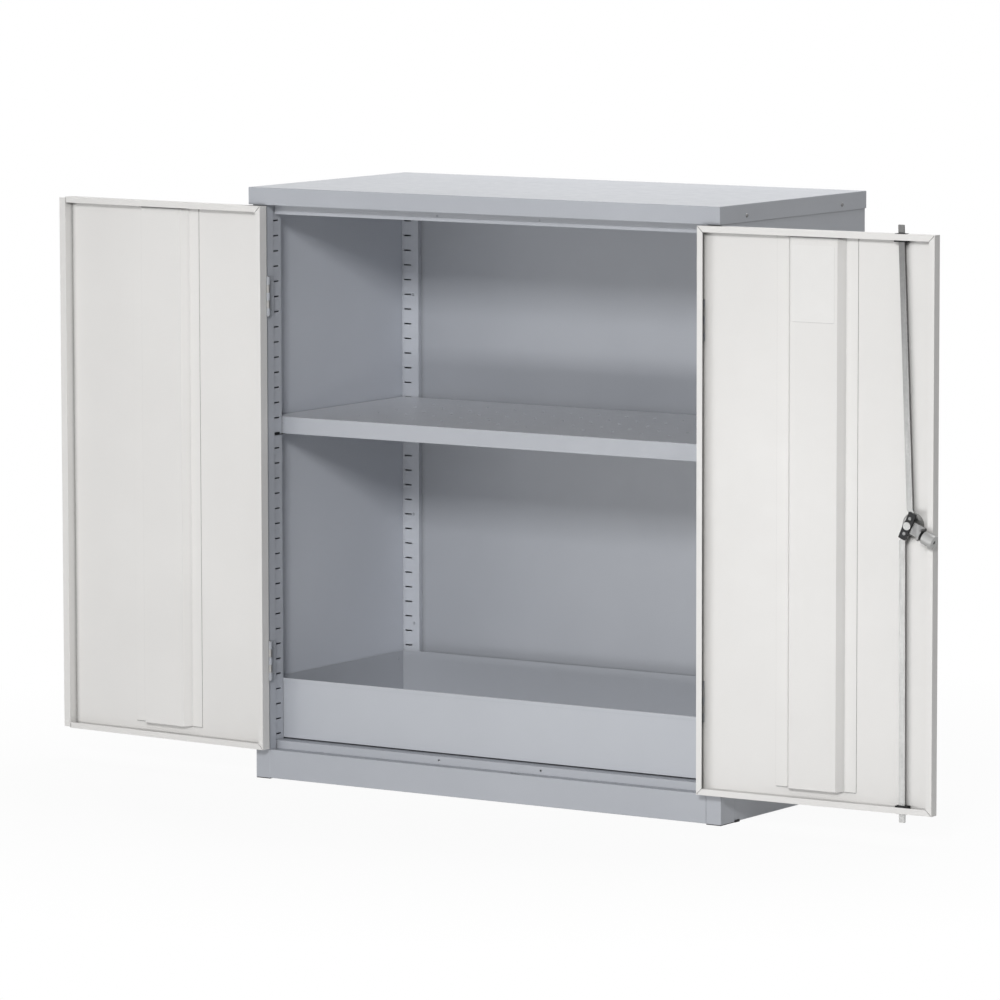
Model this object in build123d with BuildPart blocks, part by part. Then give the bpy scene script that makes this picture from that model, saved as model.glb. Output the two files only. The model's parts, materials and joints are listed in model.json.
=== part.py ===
from build123d import *
import math
import os

os.makedirs("parts", exist_ok=True)

# Overall sizes in millimetres, origin on the floor at the footprint centre
width = 915.0
depth = 458.0
height = 990.0
front = -depth / 2
back = depth / 2

# Sheet stock, its bends and its joints
sheet = 1.2
thin = 1.0
skin_bend = 0.9 * thin
seam = 0.3
corner_gap = 0.2
through = 2.0

# Cap
cap_flange = 28.5
cap_under = height - sheet
cap_screw_drop = 18.5
cap_screw_front = 82.0
cap_screw_back = 78.0
cap_screw_radius = 3.4
cap_screw_proud = 1.2

# Small rivets
rivet_radius = 2.6
rivet_proud = 0.9
rivet_slope = 35
rivet_sides = 8

# Carcass walls
wall_inset = 1.7
wall_out = width / 2 - wall_inset
wall_in = wall_out - thin
body_back = back - wall_inset
back_panel_in = body_back - 2 * thin
rear_return = 12.0
glide_height = 1.5

# Front posts
post_inset = 9.6
post_wide = 27.9
post_deep = 42.4
post_front = front + post_inset
post_back = post_front + post_deep
jamb_x = wall_out - post_wide
joggle = 2.0
joggle_run = 1.5
joggle_gap = 0.2

# Door thickness and the stops behind the doors
door_deep = 18.0
stop_gap = 1.4
lip_y = post_front + door_deep
stop_y = lip_y + stop_gap
joggle_y = lip_y + joggle_gap

# Rear posts
strip_wide = 33.3
strip_deep = 9.3
strip_x = wall_in - strip_wide
strip_y = back_panel_in - strip_deep
strip_rivet_x = strip_x + 11.0
strip_rivet_drop = 28.9
strip_rivet_pitch = 189.5
strip_rivets = 4

# Header
header_drop = 45.5
header_low = height - header_drop
header_gap = 3.2
header_end = jamb_x - header_gap
header_hem = 6.0
header_recess = 0.8
header_flange = 20.0
header_pilot_rise = 8.6

# Plinth and sill
plinth_top = 49.5
plinth_return = 16.0
plinth_joint = 0.1
sill_rise = 13.5
sill_top = plinth_top + sill_rise
sill_deep = 33.0
sill_lap = 5.0
strip_rivet_z = (sill_top + cap_under) / 2 - strip_rivet_drop
pilot_x = 100.0
pilot_radius = 2.0
keeper_wide = 19.0
keeper_deep = 8.2

# Base panel and its brace
base_front = stop_y + sill_deep + seam
base_flange = 14.0
brace_wide = 60.0
brace_flange = 15.0
brace_front_inset = 66.0
brace_back_inset = 8.0
brace_front = front + brace_front_inset
brace_back = back - brace_back_inset

# Glides
glide_out = 0.4
glide_plug = 2.5
glide_fit = 0.5
glide_side = 31.4
glide_rear = 32.0
foot_long = 14.0
foot_tall = 4.0
foot_thick = 1.0
foot_under = 4.0

# Shelf slots
slot_pitch = 25.3
slot_tall = 2.5
slot_margin = 10.0
slot_first = sill_top + slot_margin
slot_count = int((header_low - slot_tall - slot_first) / slot_pitch) + 1
slot_middle = slot_first + (slot_count - 1) * slot_pitch / 2
front_slot_wide = 15.0
front_slot_gap = 0.9
front_slot_y = joggle_y + joggle_run + front_slot_gap + front_slot_wide / 2
rear_slot_wide = 14.4
rear_slot_x = strip_x + 22.1

# Sump and shelf outlines
tray_side = wall_in - 1.8
tray_front = post_back + 1.0
sump_back = strip_y - 4.0
shelf_back = strip_y - 2.0

# Sump
runner_tall = 2.0
runner_wide = 30.0
runner_pitch = 300.0
runner_end = 30.0
sump_low = sill_top + runner_tall
sump_tall = 100.0
sump_top = sump_low + sump_tall
rim_band = 6.0
rim_proud = 0.7
sump_rivet_drop = 13.0
sump_rivet_front = tray_front + 27.0
sump_rivet_back = sump_back - 16.0

# Shelf and its clips
shelf_slot = 20
shelf_lip = 28.0
shelf_hem = 10.0
shelf_seat = 0.2
hole_radius = 3.0
hole_sides = 6
hole_pitch_x = 55.55
hole_pitch_y = 55.0
hole_margin_x = 118.0
hole_margin_y = 80.0
hole_shift = 2.0
clip_thick = 1.3
clip_fit = 0.2
clip_hook = 5.0
clip_drop = 2.2
clip_side = 16.0
clip_front_reach = 14.0
clip_rear_reach = 17.0
clip_slot_z = slot_first + shelf_slot * slot_pitch
clip_top = clip_slot_z - clip_drop
shelf_low = clip_top + shelf_seat
shelf_top = shelf_low + shelf_lip

# Doors
door_lift = 2.1
door_drop = 1.7
door_low = plinth_top + door_lift
door_high = height - cap_flange - door_drop
door_tall = door_high - door_low
door_middle = (door_low + door_high) / 2
hinge_gap = 2.55
hinge_edge = jamb_x - hinge_gap
free_edge = 1.85
pan_wide = hinge_edge - free_edge
lip_wide = 9.9
mitre_gap = 0.8
tongue_wide = 12.0
tongue_thick = 0.8
tongue_fit = 0.3
tongue_low = door_low + 2.0
tongue_high = door_high - 1.5
left_open = 183.4
right_open = 181.7
skin_in = post_front + thin

# Door stiffeners
hat_wide = 144.4
hat_flange = 21.2
hat_slant = 9.2
hat_rise = 13.6
hat_low = door_low + 23.9
hat_high = door_high - 2.3
hat_shift = {1: 2.85, -1: -4.55}

# Hinges
pin_x = jamb_x - 3.5
pin_y = post_front - 3.1
pin_radius = 2.0
pin_fit = 0.06
bore_sides = 8
pin_proud = 1.0
barrel_radius = 4.0
barrel_sides = 12
hinge_long = 65.0
knuckle = hinge_long / 5
knuckle_gap = 0.3
frame_knuckles = (0, 2, 4)
door_knuckles = (1, 3)
hinge_low = 148.0
hinge_high = 150.6
hinge_z = (door_low + hinge_low, door_high - hinge_high)
leaf_thick = 1.5
leaf_front = post_front + 1.4
leaf_back = lip_y - 0.6
leaf_rivet_y = leaf_front + 11.0
leaf_rivet_span = 44.0
leaf_rivet_proud = 0.5
notch_fit = 0.6

# Lock stack on the right door, from the skin inwards
lock_inset = 43.1
lock_rise = 0.5
lock_x = free_edge + lock_inset
lock_z = door_middle + lock_rise
lock_rest = 23.0
spindle_wide = 8.0
spindle_corner = spindle_wide / math.sqrt(2)
spindle_fit = 0.06
spindle_room = 1.0
collar_radius = 6.2
base_radius = 18.7
base_top_radius = 15.0
base_edge = 1.0
base_thick = 5.5
stud_radius = 2.2
stud_long = 5.8
stud_x = lock_x - 14.0
stud_z = lock_z + 6.5
stack_gap = 0.3
small_sides = 12
disc_sides = 24
rod_lift = 1.0
rod_thick = 3.0
rod_y = skin_in + base_thick + rod_lift
cam_sink = 1.2
cam_thick = 2.6
cam_y = lip_y - cam_sink
rotor_y = cam_y + cam_thick
rotor_thick = 3.4
rotor_top = rotor_y + rotor_thick

# Cam tongue and roller
cam_wide = 20.3
cam_reach = 31.0
cam_riser = 2.6
cam_corner = 3.0
cam_rim = 2.4
roller_radius = 10.6
roller_gap = 0.4
roller_near = 36.2
roller_far = 56.5
roller_edge = 1.0
roller_y = lip_y + tongue_fit + tongue_thick + roller_gap + roller_radius
axle_radius = 3.0
axle_fit = 0.08
axle_short = 0.5
washer_radius = 7.0

# Rotor and its pins
rotor_wide = 13.4
rotor_long = 45.4
rotor_shift = 0.7
rotor_corner = 1.0
notch_wide = 4.0
notch_deep = 1.1
throw = 13.0
throw_pin = 2.0
pin_head = 2.7
pin_head_tall = 0.8
screw_radius = 6.5
screw_thick = 1.2
screw_edge = 0.4
screw_recess = 3.6
screw_recess_deep = 0.6

# Rods at rest, their cranks and tips set in from the free edge
rod_wide = 10.2
rod_eye = 5.1
rod_eye_fit = 0.08
rod_corner = 0.8
upper_crank_inset = 45.1
upper_crank_rise = 24.0
upper_tip_inset = 63.0
upper_tip_rise = 14.0
lower_crank_inset = 58.1
lower_crank_drop = 25.2
lower_tip_inset = 56.0
lower_tip_drop = 14.8
upper_crank = (free_edge + upper_crank_inset, lock_z + upper_crank_rise)
upper_tip = (free_edge + upper_tip_inset, door_high + upper_tip_rise)
lower_crank = (free_edge + lower_crank_inset, lock_z - lower_crank_drop)
lower_tip = (free_edge + lower_tip_inset, door_low - lower_tip_drop)

# Rod guides
guide_wide = 21.0
guide_offset = 1.5
guide_slot = 17.0
guide_web = 1.0
guide_tall = 11.5
guide_proud = 0.7
guide_front = rod_y - 3.0
guide_back = lip_y - 1.3
guide_neck = 1.2
guide_fit = 0.3

# Outside handle
plate_wide = 42.0
plate_tall = 150.0
plate_corner = 8.0
plate_thick = 3.0
plate_edge = 1.2
hub_radius = 16.0
hub_long = 18.0
hub_socket = 5.0
hub_edge = 1.5
hub_back = post_front - plate_thick - stack_gap
grip_root = 11.0
grip_end = 7.5
grip_long = 105.0
grip_lift = 7.0
grip_thick = 9.0
plug_radius = 6.0
plug_fit = 0.06
plug_long = 12.0
plug_proud = 0.6
key_wide = 1.6
key_tall = 7.0
key_deep = 7.0


def save(part, label):
    """Name a piece and write its file."""
    part.label = label
    export_step(part, f"parts/{label}.step")


def folded(points, stock):
    """Section of a folded sheet, along the middle of its thickness."""
    with BuildLine(mode=Mode.PRIVATE) as path:
        Polyline(*points)
    trace(path.line, line_width=stock)


def around(radius, sides):
    """Corner radius of a many-sided bore whose flats clear a round of the given radius."""
    return radius / math.cos(math.pi / sides)


def mirrored(part):
    """The same piece for the left side."""
    return mirror(part, about=Plane.YZ)


def opened(part, side):
    """Swing a piece of a closed door to where the door stands."""
    hinge = Axis((side * pin_x, pin_y, 0), (0, 0, 1))
    angle = right_open if side > 0 else -left_open
    return part.rotate(hinge, angle)


def turned(part):
    """Turn a piece of the locked mechanism to where it rests."""
    return part.rotate(Axis((lock_x, 0, lock_z), (0, 1, 0)), -lock_rest)


# Cap, a tray turned down over the carcass
with BuildPart() as cap:
    with BuildSketch(Plane.XY.offset(height - cap_flange)):
        Rectangle(width, depth)
    extrude(amount=cap_flange)
    offset(amount=-sheet, openings=cap.faces().sort_by(Axis.Z)[0], kind=Kind.INTERSECTION)
    fillet(cap.faces().sort_by(Axis.Z)[-1].edges(), skin_bend)
save(cap.part, "top_cap")

# Screws in the cap's side flanges
with BuildPart() as right_cap_screws:
    with BuildSketch(Plane.YZ.offset(width / 2)):
        with Locations((front + cap_screw_front, height - cap_screw_drop),
                       (back - cap_screw_back, height - cap_screw_drop)):
            RegularPolygon(cap_screw_radius, rivet_sides)
    extrude(amount=cap_screw_proud, taper=rivet_slope)
with BuildPart() as cap_screws:
    add(right_cap_screws.part)
    mirror(about=Plane.YZ)
save(cap_screws.part, "cap_screws")

# Side panel with its return behind the back panel
with BuildPart() as side_panel:
    with BuildSketch(Plane.XY.offset(glide_height)):
        folded([
            (wall_out - thin / 2, post_back),
            (wall_out - thin / 2, body_back - thin / 2),
            (wall_out - rear_return, body_back - thin / 2),
        ], thin)
    extrude(amount=cap_under - glide_height)
save(side_panel.part, "right_side_panel")
save(mirrored(side_panel.part), "left_side_panel")

# Front post with the door jamb, its joggle and the ladder of slots
with BuildPart() as front_post:
    jamb_middle = jamb_x + sheet / 2
    with BuildSketch(Plane.XY.offset(glide_height)):
        folded([
            (wall_out - sheet / 2, post_back - seam),
            (wall_out - sheet / 2, post_front + sheet / 2),
            (jamb_middle, post_front + sheet / 2),
            (jamb_middle, joggle_y),
            (jamb_middle + joggle, joggle_y + joggle_run),
            (jamb_middle + joggle, post_back - sheet / 2),
            (wall_out - sheet - seam, post_back - sheet / 2),
        ], sheet)
    extrude(amount=cap_under - glide_height)
    fillet(front_post.edges().filter_by(Axis.Z).group_by(Axis.Y)[0], skin_bend)
    with BuildSketch(Plane.YZ.offset(jamb_x)):
        with Locations((front_slot_y, slot_middle)):
            with GridLocations(1, slot_pitch, 1, slot_count):
                Rectangle(front_slot_wide, slot_tall)
    extrude(amount=joggle + sheet + through, mode=Mode.SUBTRACT)
save(front_post.part, "right_front_post")
save(mirrored(front_post.part), "left_front_post")

# Rear post, a slotted strip standing off the back panel
with BuildPart() as rear_post:
    with BuildSketch(Plane.XY.offset(sill_top)):
        folded([
            (strip_x + sheet / 2, back_panel_in),
            (strip_x + sheet / 2, strip_y + sheet / 2),
            (wall_in, strip_y + sheet / 2),
        ], sheet)
    extrude(amount=cap_under - sill_top)
    with BuildSketch(Plane.XZ.offset(-strip_y)):
        with Locations((rear_slot_x, slot_middle)):
            with GridLocations(1, slot_pitch, 1, slot_count):
                Rectangle(rear_slot_wide, slot_tall)
    extrude(amount=-through, mode=Mode.SUBTRACT)
save(rear_post.part, "right_rear_post")
save(mirrored(rear_post.part), "left_rear_post")

# Rivets of the rear posts
with BuildPart() as rear_rivets:
    with BuildSketch(Plane.XZ.offset(-strip_y)):
        with Locations((-strip_rivet_x, strip_rivet_z), (strip_rivet_x, strip_rivet_z)):
            with GridLocations(1, strip_rivet_pitch, 1, strip_rivets):
                RegularPolygon(rivet_radius, rivet_sides)
    extrude(amount=rivet_proud, taper=rivet_slope)
save(rear_rivets.part, "rear_post_rivets")

# Back panel
with BuildPart() as back_panel:
    with BuildSketch(Plane.XZ.offset(-back_panel_in)):
        with Locations((0, glide_height)):
            Rectangle(2 * (wall_in - corner_gap), cap_under - glide_height, align=(Align.CENTER, Align.MIN))
    extrude(amount=-thin)
save(back_panel.part, "back_panel")

# Header behind the cap's front flange, with a hemmed lower edge
with BuildPart() as header:
    recess_y = stop_y + header_recess + sheet / 2
    with BuildSketch(Plane.YZ.offset(-header_end)):
        folded([
            (stop_y + header_flange, cap_under - sheet / 2),
            (recess_y, cap_under - sheet / 2),
            (recess_y, header_low),
        ], sheet)
        with Locations((stop_y, header_low)):
            Rectangle(2 * sheet, header_hem, align=(Align.MIN, Align.MIN))
    extrude(amount=2 * header_end)
    with BuildSketch(Plane.XZ.offset(-stop_y)):
        with Locations((0, header_low + header_pilot_rise)):
            with GridLocations(2 * pilot_x, 1, 2, 1):
                RegularPolygon(pilot_radius, rivet_sides)
    extrude(amount=-2 * through, mode=Mode.SUBTRACT)
save(header.part, "header_rail")

# Plinth front with its ledge and the lower rod's keeper slot
with BuildPart() as plinth:
    plinth_half = jamb_x - plinth_joint
    with BuildSketch(Plane.YZ.offset(-plinth_half)):
        folded([
            (post_front + plinth_return, glide_height + sheet / 2),
            (post_front + sheet / 2, glide_height + sheet / 2),
            (post_front + sheet / 2, plinth_top - sheet / 2),
            (stop_y - seam, plinth_top - sheet / 2),
        ], sheet)
    extrude(amount=2 * plinth_half)
    fillet(plinth.edges().filter_by(Axis.X).group_by(Axis.Y)[0], skin_bend)
    with BuildSketch(Plane.XY.offset(plinth_top)):
        with Locations((lower_tip[0], rod_y + rod_thick / 2)):
            Rectangle(keeper_wide, keeper_deep)
    extrude(amount=-through, mode=Mode.SUBTRACT)
save(plinth.part, "plinth_panel")

# Sill behind the doors' lower edges
with BuildPart() as sill:
    with BuildSketch(Plane.YZ.offset(-jamb_x)):
        folded([
            (stop_y - sill_lap, plinth_top - 1.5 * sheet),
            (stop_y + sheet / 2, plinth_top - 1.5 * sheet),
            (stop_y + sheet / 2, sill_top - sheet / 2),
            (stop_y + sill_deep, sill_top - sheet / 2),
        ], sheet)
    extrude(amount=2 * jamb_x)
    fillet(sill.edges().filter_by(Axis.X).group_by(Axis.Z)[-1].sort_by(Axis.Y)[0], skin_bend)
    with BuildSketch(Plane.XZ.offset(-stop_y)):
        with Locations((0, (plinth_top + sill_top) / 2)):
            with GridLocations(2 * pilot_x, 1, 2, 1):
                RegularPolygon(pilot_radius, rivet_sides)
    extrude(amount=-through, mode=Mode.SUBTRACT)
save(sill.part, "sill_rail")

# Base panel under the sump, flanged at the front and the sides
with BuildPart() as base:
    with BuildSketch(Plane.XY.offset(sill_top)):
        with Locations((0, base_front)):
            Rectangle(2 * wall_in, back_panel_in - base_front, align=(Align.CENTER, Align.MIN))
    extrude(amount=-base_flange)
    open_sides = [base.faces().sort_by(Axis.Z)[0], base.faces().sort_by(Axis.Y)[-1]]
    offset(amount=-sheet, openings=open_sides, kind=Kind.INTERSECTION)
save(base.part, "base_panel")

# Brace that carries the middle of the base panel down to the floor
with BuildPart() as brace:
    brace_high = sill_top - 1.5 * sheet
    with BuildSketch(Plane.XZ.offset(-brace_front)):
        folded([
            (-brace_wide / 2 - brace_flange, brace_high),
            (-brace_wide / 2, brace_high),
            (-brace_wide / 2, sheet / 2),
            (brace_wide / 2, sheet / 2),
            (brace_wide / 2, brace_high),
            (brace_wide / 2 + brace_flange, brace_high),
        ], sheet)
    extrude(amount=-(brace_back - brace_front))
save(brace.part, "base_brace")

# Glides under one side: a plugged pad, an angle at the seam and a rear pad
with BuildPart() as side_glides:
    pad_out = wall_out - glide_out
    plug_in = jamb_x + joggle + sheet + glide_fit
    plug_out = wall_out - sheet - glide_fit
    plug_front = post_front + sheet + glide_fit
    plug_back = post_back - sheet - glide_fit
    with BuildSketch():
        with Locations((pad_out, post_front + glide_out)):
            Rectangle(pad_out - jamb_x - glide_out, post_deep - 2 * glide_out, align=(Align.MAX, Align.MIN))
        with Locations((pad_out, body_back - thin)):
            Rectangle(glide_side, glide_rear, align=(Align.MAX, Align.MAX))
    extrude(amount=glide_height)
    with BuildSketch(Plane.XY.offset(glide_height)):
        with Locations(((plug_in + plug_out) / 2, (plug_front + plug_back) / 2)):
            Rectangle(plug_out - plug_in, plug_back - plug_front)
    extrude(amount=glide_plug)
    with BuildSketch(Plane.XZ.offset(-post_back)):
        with Locations((wall_out + foot_thick, 0)):
            Rectangle(foot_thick + foot_under, glide_height, align=(Align.MAX, Align.MIN))
            Rectangle(foot_thick, foot_tall, align=(Align.MAX, Align.MIN))
    extrude(amount=-foot_long)
with BuildPart() as glides:
    add(side_glides.part)
    mirror(about=Plane.YZ)
save(glides.part, "glides")

# Sump tray with a banded rim, on runners
with BuildPart() as sump:
    sump_middle = (tray_front + sump_back) / 2
    sump_deep = sump_back - tray_front
    with BuildSketch(Plane.XY.offset(sump_low)):
        with Locations((0, sump_middle)):
            Rectangle(2 * tray_side, sump_deep)
    extrude(amount=sump_tall)
    offset(amount=-sheet, openings=sump.faces().sort_by(Axis.Z)[-1], kind=Kind.INTERSECTION)
    with BuildSketch(Plane.XY.offset(sump_top - rim_band)):
        with Locations((0, sump_middle)):
            Rectangle(2 * (tray_side + rim_proud), sump_deep + 2 * rim_proud)
            Rectangle(2 * (tray_side - sheet), sump_deep - 2 * sheet, mode=Mode.SUBTRACT)
    extrude(amount=rim_band)
    fillet(sump.faces().sort_by(Axis.Z)[-1].outer_wire().edges(), rim_proud)
    with BuildSketch(Plane.XY.offset(sill_top)):
        with Locations((0, sump_middle)):
            with GridLocations(runner_pitch, 1, 3, 1):
                Rectangle(runner_wide, sump_deep - 2 * runner_end)
    extrude(amount=runner_tall)
save(sump.part, "sump_tray")

# Rivets that hold the sump to the side walls
with BuildPart() as right_sump_rivets:
    with BuildSketch(Plane.YZ.offset(tray_side - sheet)):
        with Locations((sump_rivet_front, sump_top - sump_rivet_drop),
                       (sump_rivet_back, sump_top - sump_rivet_drop)):
            RegularPolygon(rivet_radius, rivet_sides)
    extrude(amount=-rivet_proud, taper=rivet_slope)
with BuildPart() as sump_rivets:
    add(right_sump_rivets.part)
    mirror(about=Plane.YZ)
save(sump_rivets.part, "sump_rivets")

# Perforated shelf, lipped all round, with hems under its long edges
with BuildPart() as shelf:
    shelf_deep = shelf_back - tray_front
    shelf_middle = (shelf_back + tray_front) / 2
    columns = int((2 * tray_side - 2 * hole_margin_x) / hole_pitch_x) + 1
    rows = int((shelf_deep - 2 * hole_margin_y) / hole_pitch_y) + 1
    with BuildSketch(Plane.XY.offset(shelf_low)):
        with Locations((0, shelf_middle)):
            Rectangle(2 * tray_side, shelf_deep)
    extrude(amount=shelf_lip)
    offset(amount=-sheet, openings=shelf.faces().sort_by(Axis.Z)[0], kind=Kind.INTERSECTION)
    fillet(shelf.faces().sort_by(Axis.Z)[-1].edges(), skin_bend)
    with BuildSketch(Plane.XY.offset(shelf_low)):
        with Locations((0, shelf_middle)):
            Rectangle(2 * tray_side, shelf_deep)
            Rectangle(2 * (tray_side - sheet), shelf_deep - 2 * shelf_hem, mode=Mode.SUBTRACT)
    extrude(amount=sheet)
    with BuildSketch(Plane.XY.offset(shelf_top)):
        with Locations((0, shelf_middle + hole_shift)):
            with GridLocations(hole_pitch_x, hole_pitch_y, columns, rows):
                RegularPolygon(hole_radius, hole_sides)
    extrude(amount=-through, mode=Mode.SUBTRACT)
save(shelf.part, "shelf")

# Front clip: a hooked strip in the slot and a corner plate under the shelf
with BuildPart() as right_front_clip:
    face = jamb_x + joggle
    strip_middle = face - clip_fit - clip_thick / 2
    tab_wide = front_slot_wide - 2
    tab_front = front_slot_y - tab_wide / 2
    with BuildSketch(Plane.XZ.offset(-tab_front)):
        folded([
            (face + clip_hook, clip_slot_z),
            (strip_middle, clip_slot_z),
            (strip_middle, clip_top - clip_thick),
        ], clip_thick)
    extrude(amount=-tab_wide)
    with BuildSketch(Plane.XY.offset(clip_top)):
        plate_middle = post_back + clip_fit + clip_thick / 2
        folded([
            (strip_middle, tab_front),
            (strip_middle, plate_middle),
            (face + clip_side, plate_middle),
        ], clip_thick)
        with Locations((face + clip_side, post_back + clip_fit)):
            Rectangle(clip_side + clip_fit + clip_thick, clip_front_reach, align=(Align.MAX, Align.MIN))
    extrude(amount=-clip_thick)
with BuildPart() as front_clips:
    add(right_front_clip.part)
    mirror(about=Plane.YZ)
save(front_clips.part, "front_shelf_clips")

# Rear clip: a strip bent through the slot and out under the shelf
with BuildPart() as right_rear_clip:
    tab_half = rear_slot_wide / 2 - 1
    with BuildSketch(Plane.YZ.offset(rear_slot_x - tab_half)):
        folded([
            (strip_y + clip_hook, clip_slot_z),
            (strip_y - clip_fit - clip_thick / 2, clip_slot_z),
            (strip_y - clip_fit - clip_thick / 2, clip_top - clip_thick / 2),
            (strip_y - clip_rear_reach, clip_top - clip_thick / 2),
        ], clip_thick)
    extrude(amount=2 * tab_half)
with BuildPart() as rear_clips:
    add(right_rear_clip.part)
    mirror(about=Plane.YZ)
save(rear_clips.part, "rear_shelf_clips")


def door_pan(side):
    """Closed door pan with mitred lips, hinge notches and, on the left, the outward tongue."""
    centre_x = side * (hinge_edge + free_edge) / 2
    free_lip = lip_wide if side > 0 else thin
    window_x = side * (free_edge + free_lip + hinge_edge - lip_wide) / 2
    with BuildPart() as pan:
        with BuildSketch(Plane.XZ.offset(-post_front)):
            with Locations((centre_x, door_middle)):
                Rectangle(pan_wide, door_tall)
        extrude(amount=-door_deep)
        offset(amount=-thin, openings=pan.faces().sort_by(Axis.Y)[-1], kind=Kind.INTERSECTION)
        fillet(pan.faces().sort_by(Axis.Y)[0].edges(), skin_bend)
        with BuildSketch(Plane.XZ.offset(-lip_y)):
            with Locations((centre_x, door_middle)):
                Rectangle(pan_wide, door_tall)
            with Locations((window_x, door_middle)):
                Rectangle(pan_wide - free_lip - lip_wide, door_tall - 2 * lip_wide, mode=Mode.SUBTRACT)
            for z, slope in ((door_low, 45), (door_high, -45)):
                inward = 1 if z == door_low else -1
                with Locations((side * (hinge_edge - lip_wide / 2), z + inward * lip_wide / 2)):
                    Rectangle(2 * lip_wide, mitre_gap, rotation=-side * slope, mode=Mode.SUBTRACT)
                if side > 0:
                    with Locations((free_edge + lip_wide / 2, z + inward * lip_wide / 2)):
                        Rectangle(2 * lip_wide, mitre_gap, rotation=slope, mode=Mode.SUBTRACT)
        extrude(amount=thin)
        notch = barrel_radius + notch_fit
        for z in hinge_z:
            with BuildSketch(Plane.XY.offset(z - hinge_long / 2 - notch_fit)):
                with Locations((side * pin_x, pin_y)):
                    Rectangle(2 * notch, 2 * notch)
            extrude(amount=hinge_long + 2 * notch_fit, mode=Mode.SUBTRACT)
        if side < 0:
            tongue_back = lip_y + tongue_fit + tongue_thick
            with BuildSketch(Plane.XY.offset(tongue_low)):
                with Locations((-free_edge - thin, tongue_back)):
                    Rectangle(thin, tongue_back - lip_y + thin, align=(Align.MIN, Align.MAX))
                    Rectangle(thin + tongue_wide, tongue_thick, align=(Align.MIN, Align.MAX))
            extrude(amount=tongue_high - tongue_low)
        else:
            with BuildSketch(Plane.XZ.offset(-post_front)):
                with Locations((lock_x, lock_z)):
                    RegularPolygon(around(spindle_corner + spindle_room, small_sides), small_sides)
            extrude(amount=-thin, mode=Mode.SUBTRACT)
            for tip, z in ((upper_tip, door_high - thin), (lower_tip, door_low)):
                with BuildSketch(Plane.XY.offset(z)):
                    with Locations((tip[0] - guide_offset, (guide_front + guide_back) / 2)):
                        Rectangle(guide_slot + 2 * guide_web + 2 * guide_fit,
                                  guide_back - guide_front - 2 * guide_neck + 2 * guide_fit)
                extrude(amount=thin, mode=Mode.SUBTRACT)
    return pan.part


def door_hat(side):
    """Stiffener with slanted sides down the inside of a door."""
    centre_x = side * (free_edge + pan_wide / 2 + hat_shift[side])
    foot_y = skin_in + thin / 2
    face_y = skin_in + hat_rise - thin / 2
    half = hat_wide / 2
    with BuildPart() as hat:
        with BuildSketch(Plane.XY.offset(hat_low)):
            folded([
                (centre_x - half, foot_y),
                (centre_x - half + hat_flange, foot_y),
                (centre_x - half + hat_flange + hat_slant, face_y),
                (centre_x + half - hat_flange - hat_slant, face_y),
                (centre_x + half - hat_flange, foot_y),
                (centre_x + half, foot_y),
            ], thin)
        extrude(amount=hat_high - hat_low)
    return hat.part


def hinge_leaves(side, edge, back_y, bore, indices):
    """Both leaves of one kind on one side, rolled into knuckles round the pin."""
    leaf_x = side * (edge - leaf_thick / 2)
    with BuildPart() as leaves:
        for z in hinge_z:
            low = z - hinge_long / 2
            with BuildSketch(Plane.XY.offset(low)):
                with Locations((leaf_x, leaf_front)):
                    Rectangle(leaf_thick, back_y - leaf_front, align=(Align.CENTER, Align.MIN))
            extrude(amount=hinge_long)
            for index in indices:
                with BuildSketch(Plane.XY.offset(low + index * knuckle + knuckle_gap / 2)):
                    with Locations((side * pin_x, pin_y)):
                        RegularPolygon(barrel_radius, barrel_sides)
                    with Locations((leaf_x, pin_y)):
                        Rectangle(leaf_thick, leaf_front - pin_y, align=(Align.CENTER, Align.MIN))
                    with Locations((side * pin_x, pin_y)):
                        RegularPolygon(bore, bore_sides, mode=Mode.SUBTRACT)
                extrude(amount=knuckle - knuckle_gap)
    return leaves.part


def hinge_pins(side):
    """The two pins of one door."""
    with BuildPart() as pins:
        for z in hinge_z:
            with BuildSketch(Plane.XY.offset(z - hinge_long / 2 - pin_proud)):
                with Locations((side * pin_x, pin_y)):
                    Circle(pin_radius)
            extrude(amount=hinge_long + 2 * pin_proud)
    return pins.part


for side, word in ((-1, "left"), (1, "right")):
    save(opened(door_pan(side), side), f"{word}_door_pan")
    save(opened(door_hat(side), side), f"{word}_door_stiffener")
    tight_bore = around(pin_radius, bore_sides)
    frame_leaves = hinge_leaves(side, jamb_x, leaf_back, tight_bore, frame_knuckles)
    save(frame_leaves, f"{word}_frame_hinge_leaves")
    loose_bore = around(pin_radius + pin_fit, bore_sides)
    door_leaves = hinge_leaves(side, hinge_edge - thin, leaf_back - thin, loose_bore, door_knuckles)
    save(opened(door_leaves, side), f"{word}_door_hinge_leaves")
    save(hinge_pins(side), f"{word}_hinge_pins")

# Rivets of the frame leaves
with BuildPart() as right_leaf_rivets:
    with BuildSketch(Plane.YZ.offset(jamb_x - leaf_thick)):
        with Locations((leaf_rivet_y, hinge_z[0]), (leaf_rivet_y, hinge_z[1])):
            with GridLocations(1, leaf_rivet_span, 1, 2):
                RegularPolygon(rivet_radius, rivet_sides)
    extrude(amount=-leaf_rivet_proud, taper=rivet_slope)
with BuildPart() as leaf_rivets:
    add(right_leaf_rivets.part)
    mirror(about=Plane.YZ)
save(leaf_rivets.part, "hinge_rivets")

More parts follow.
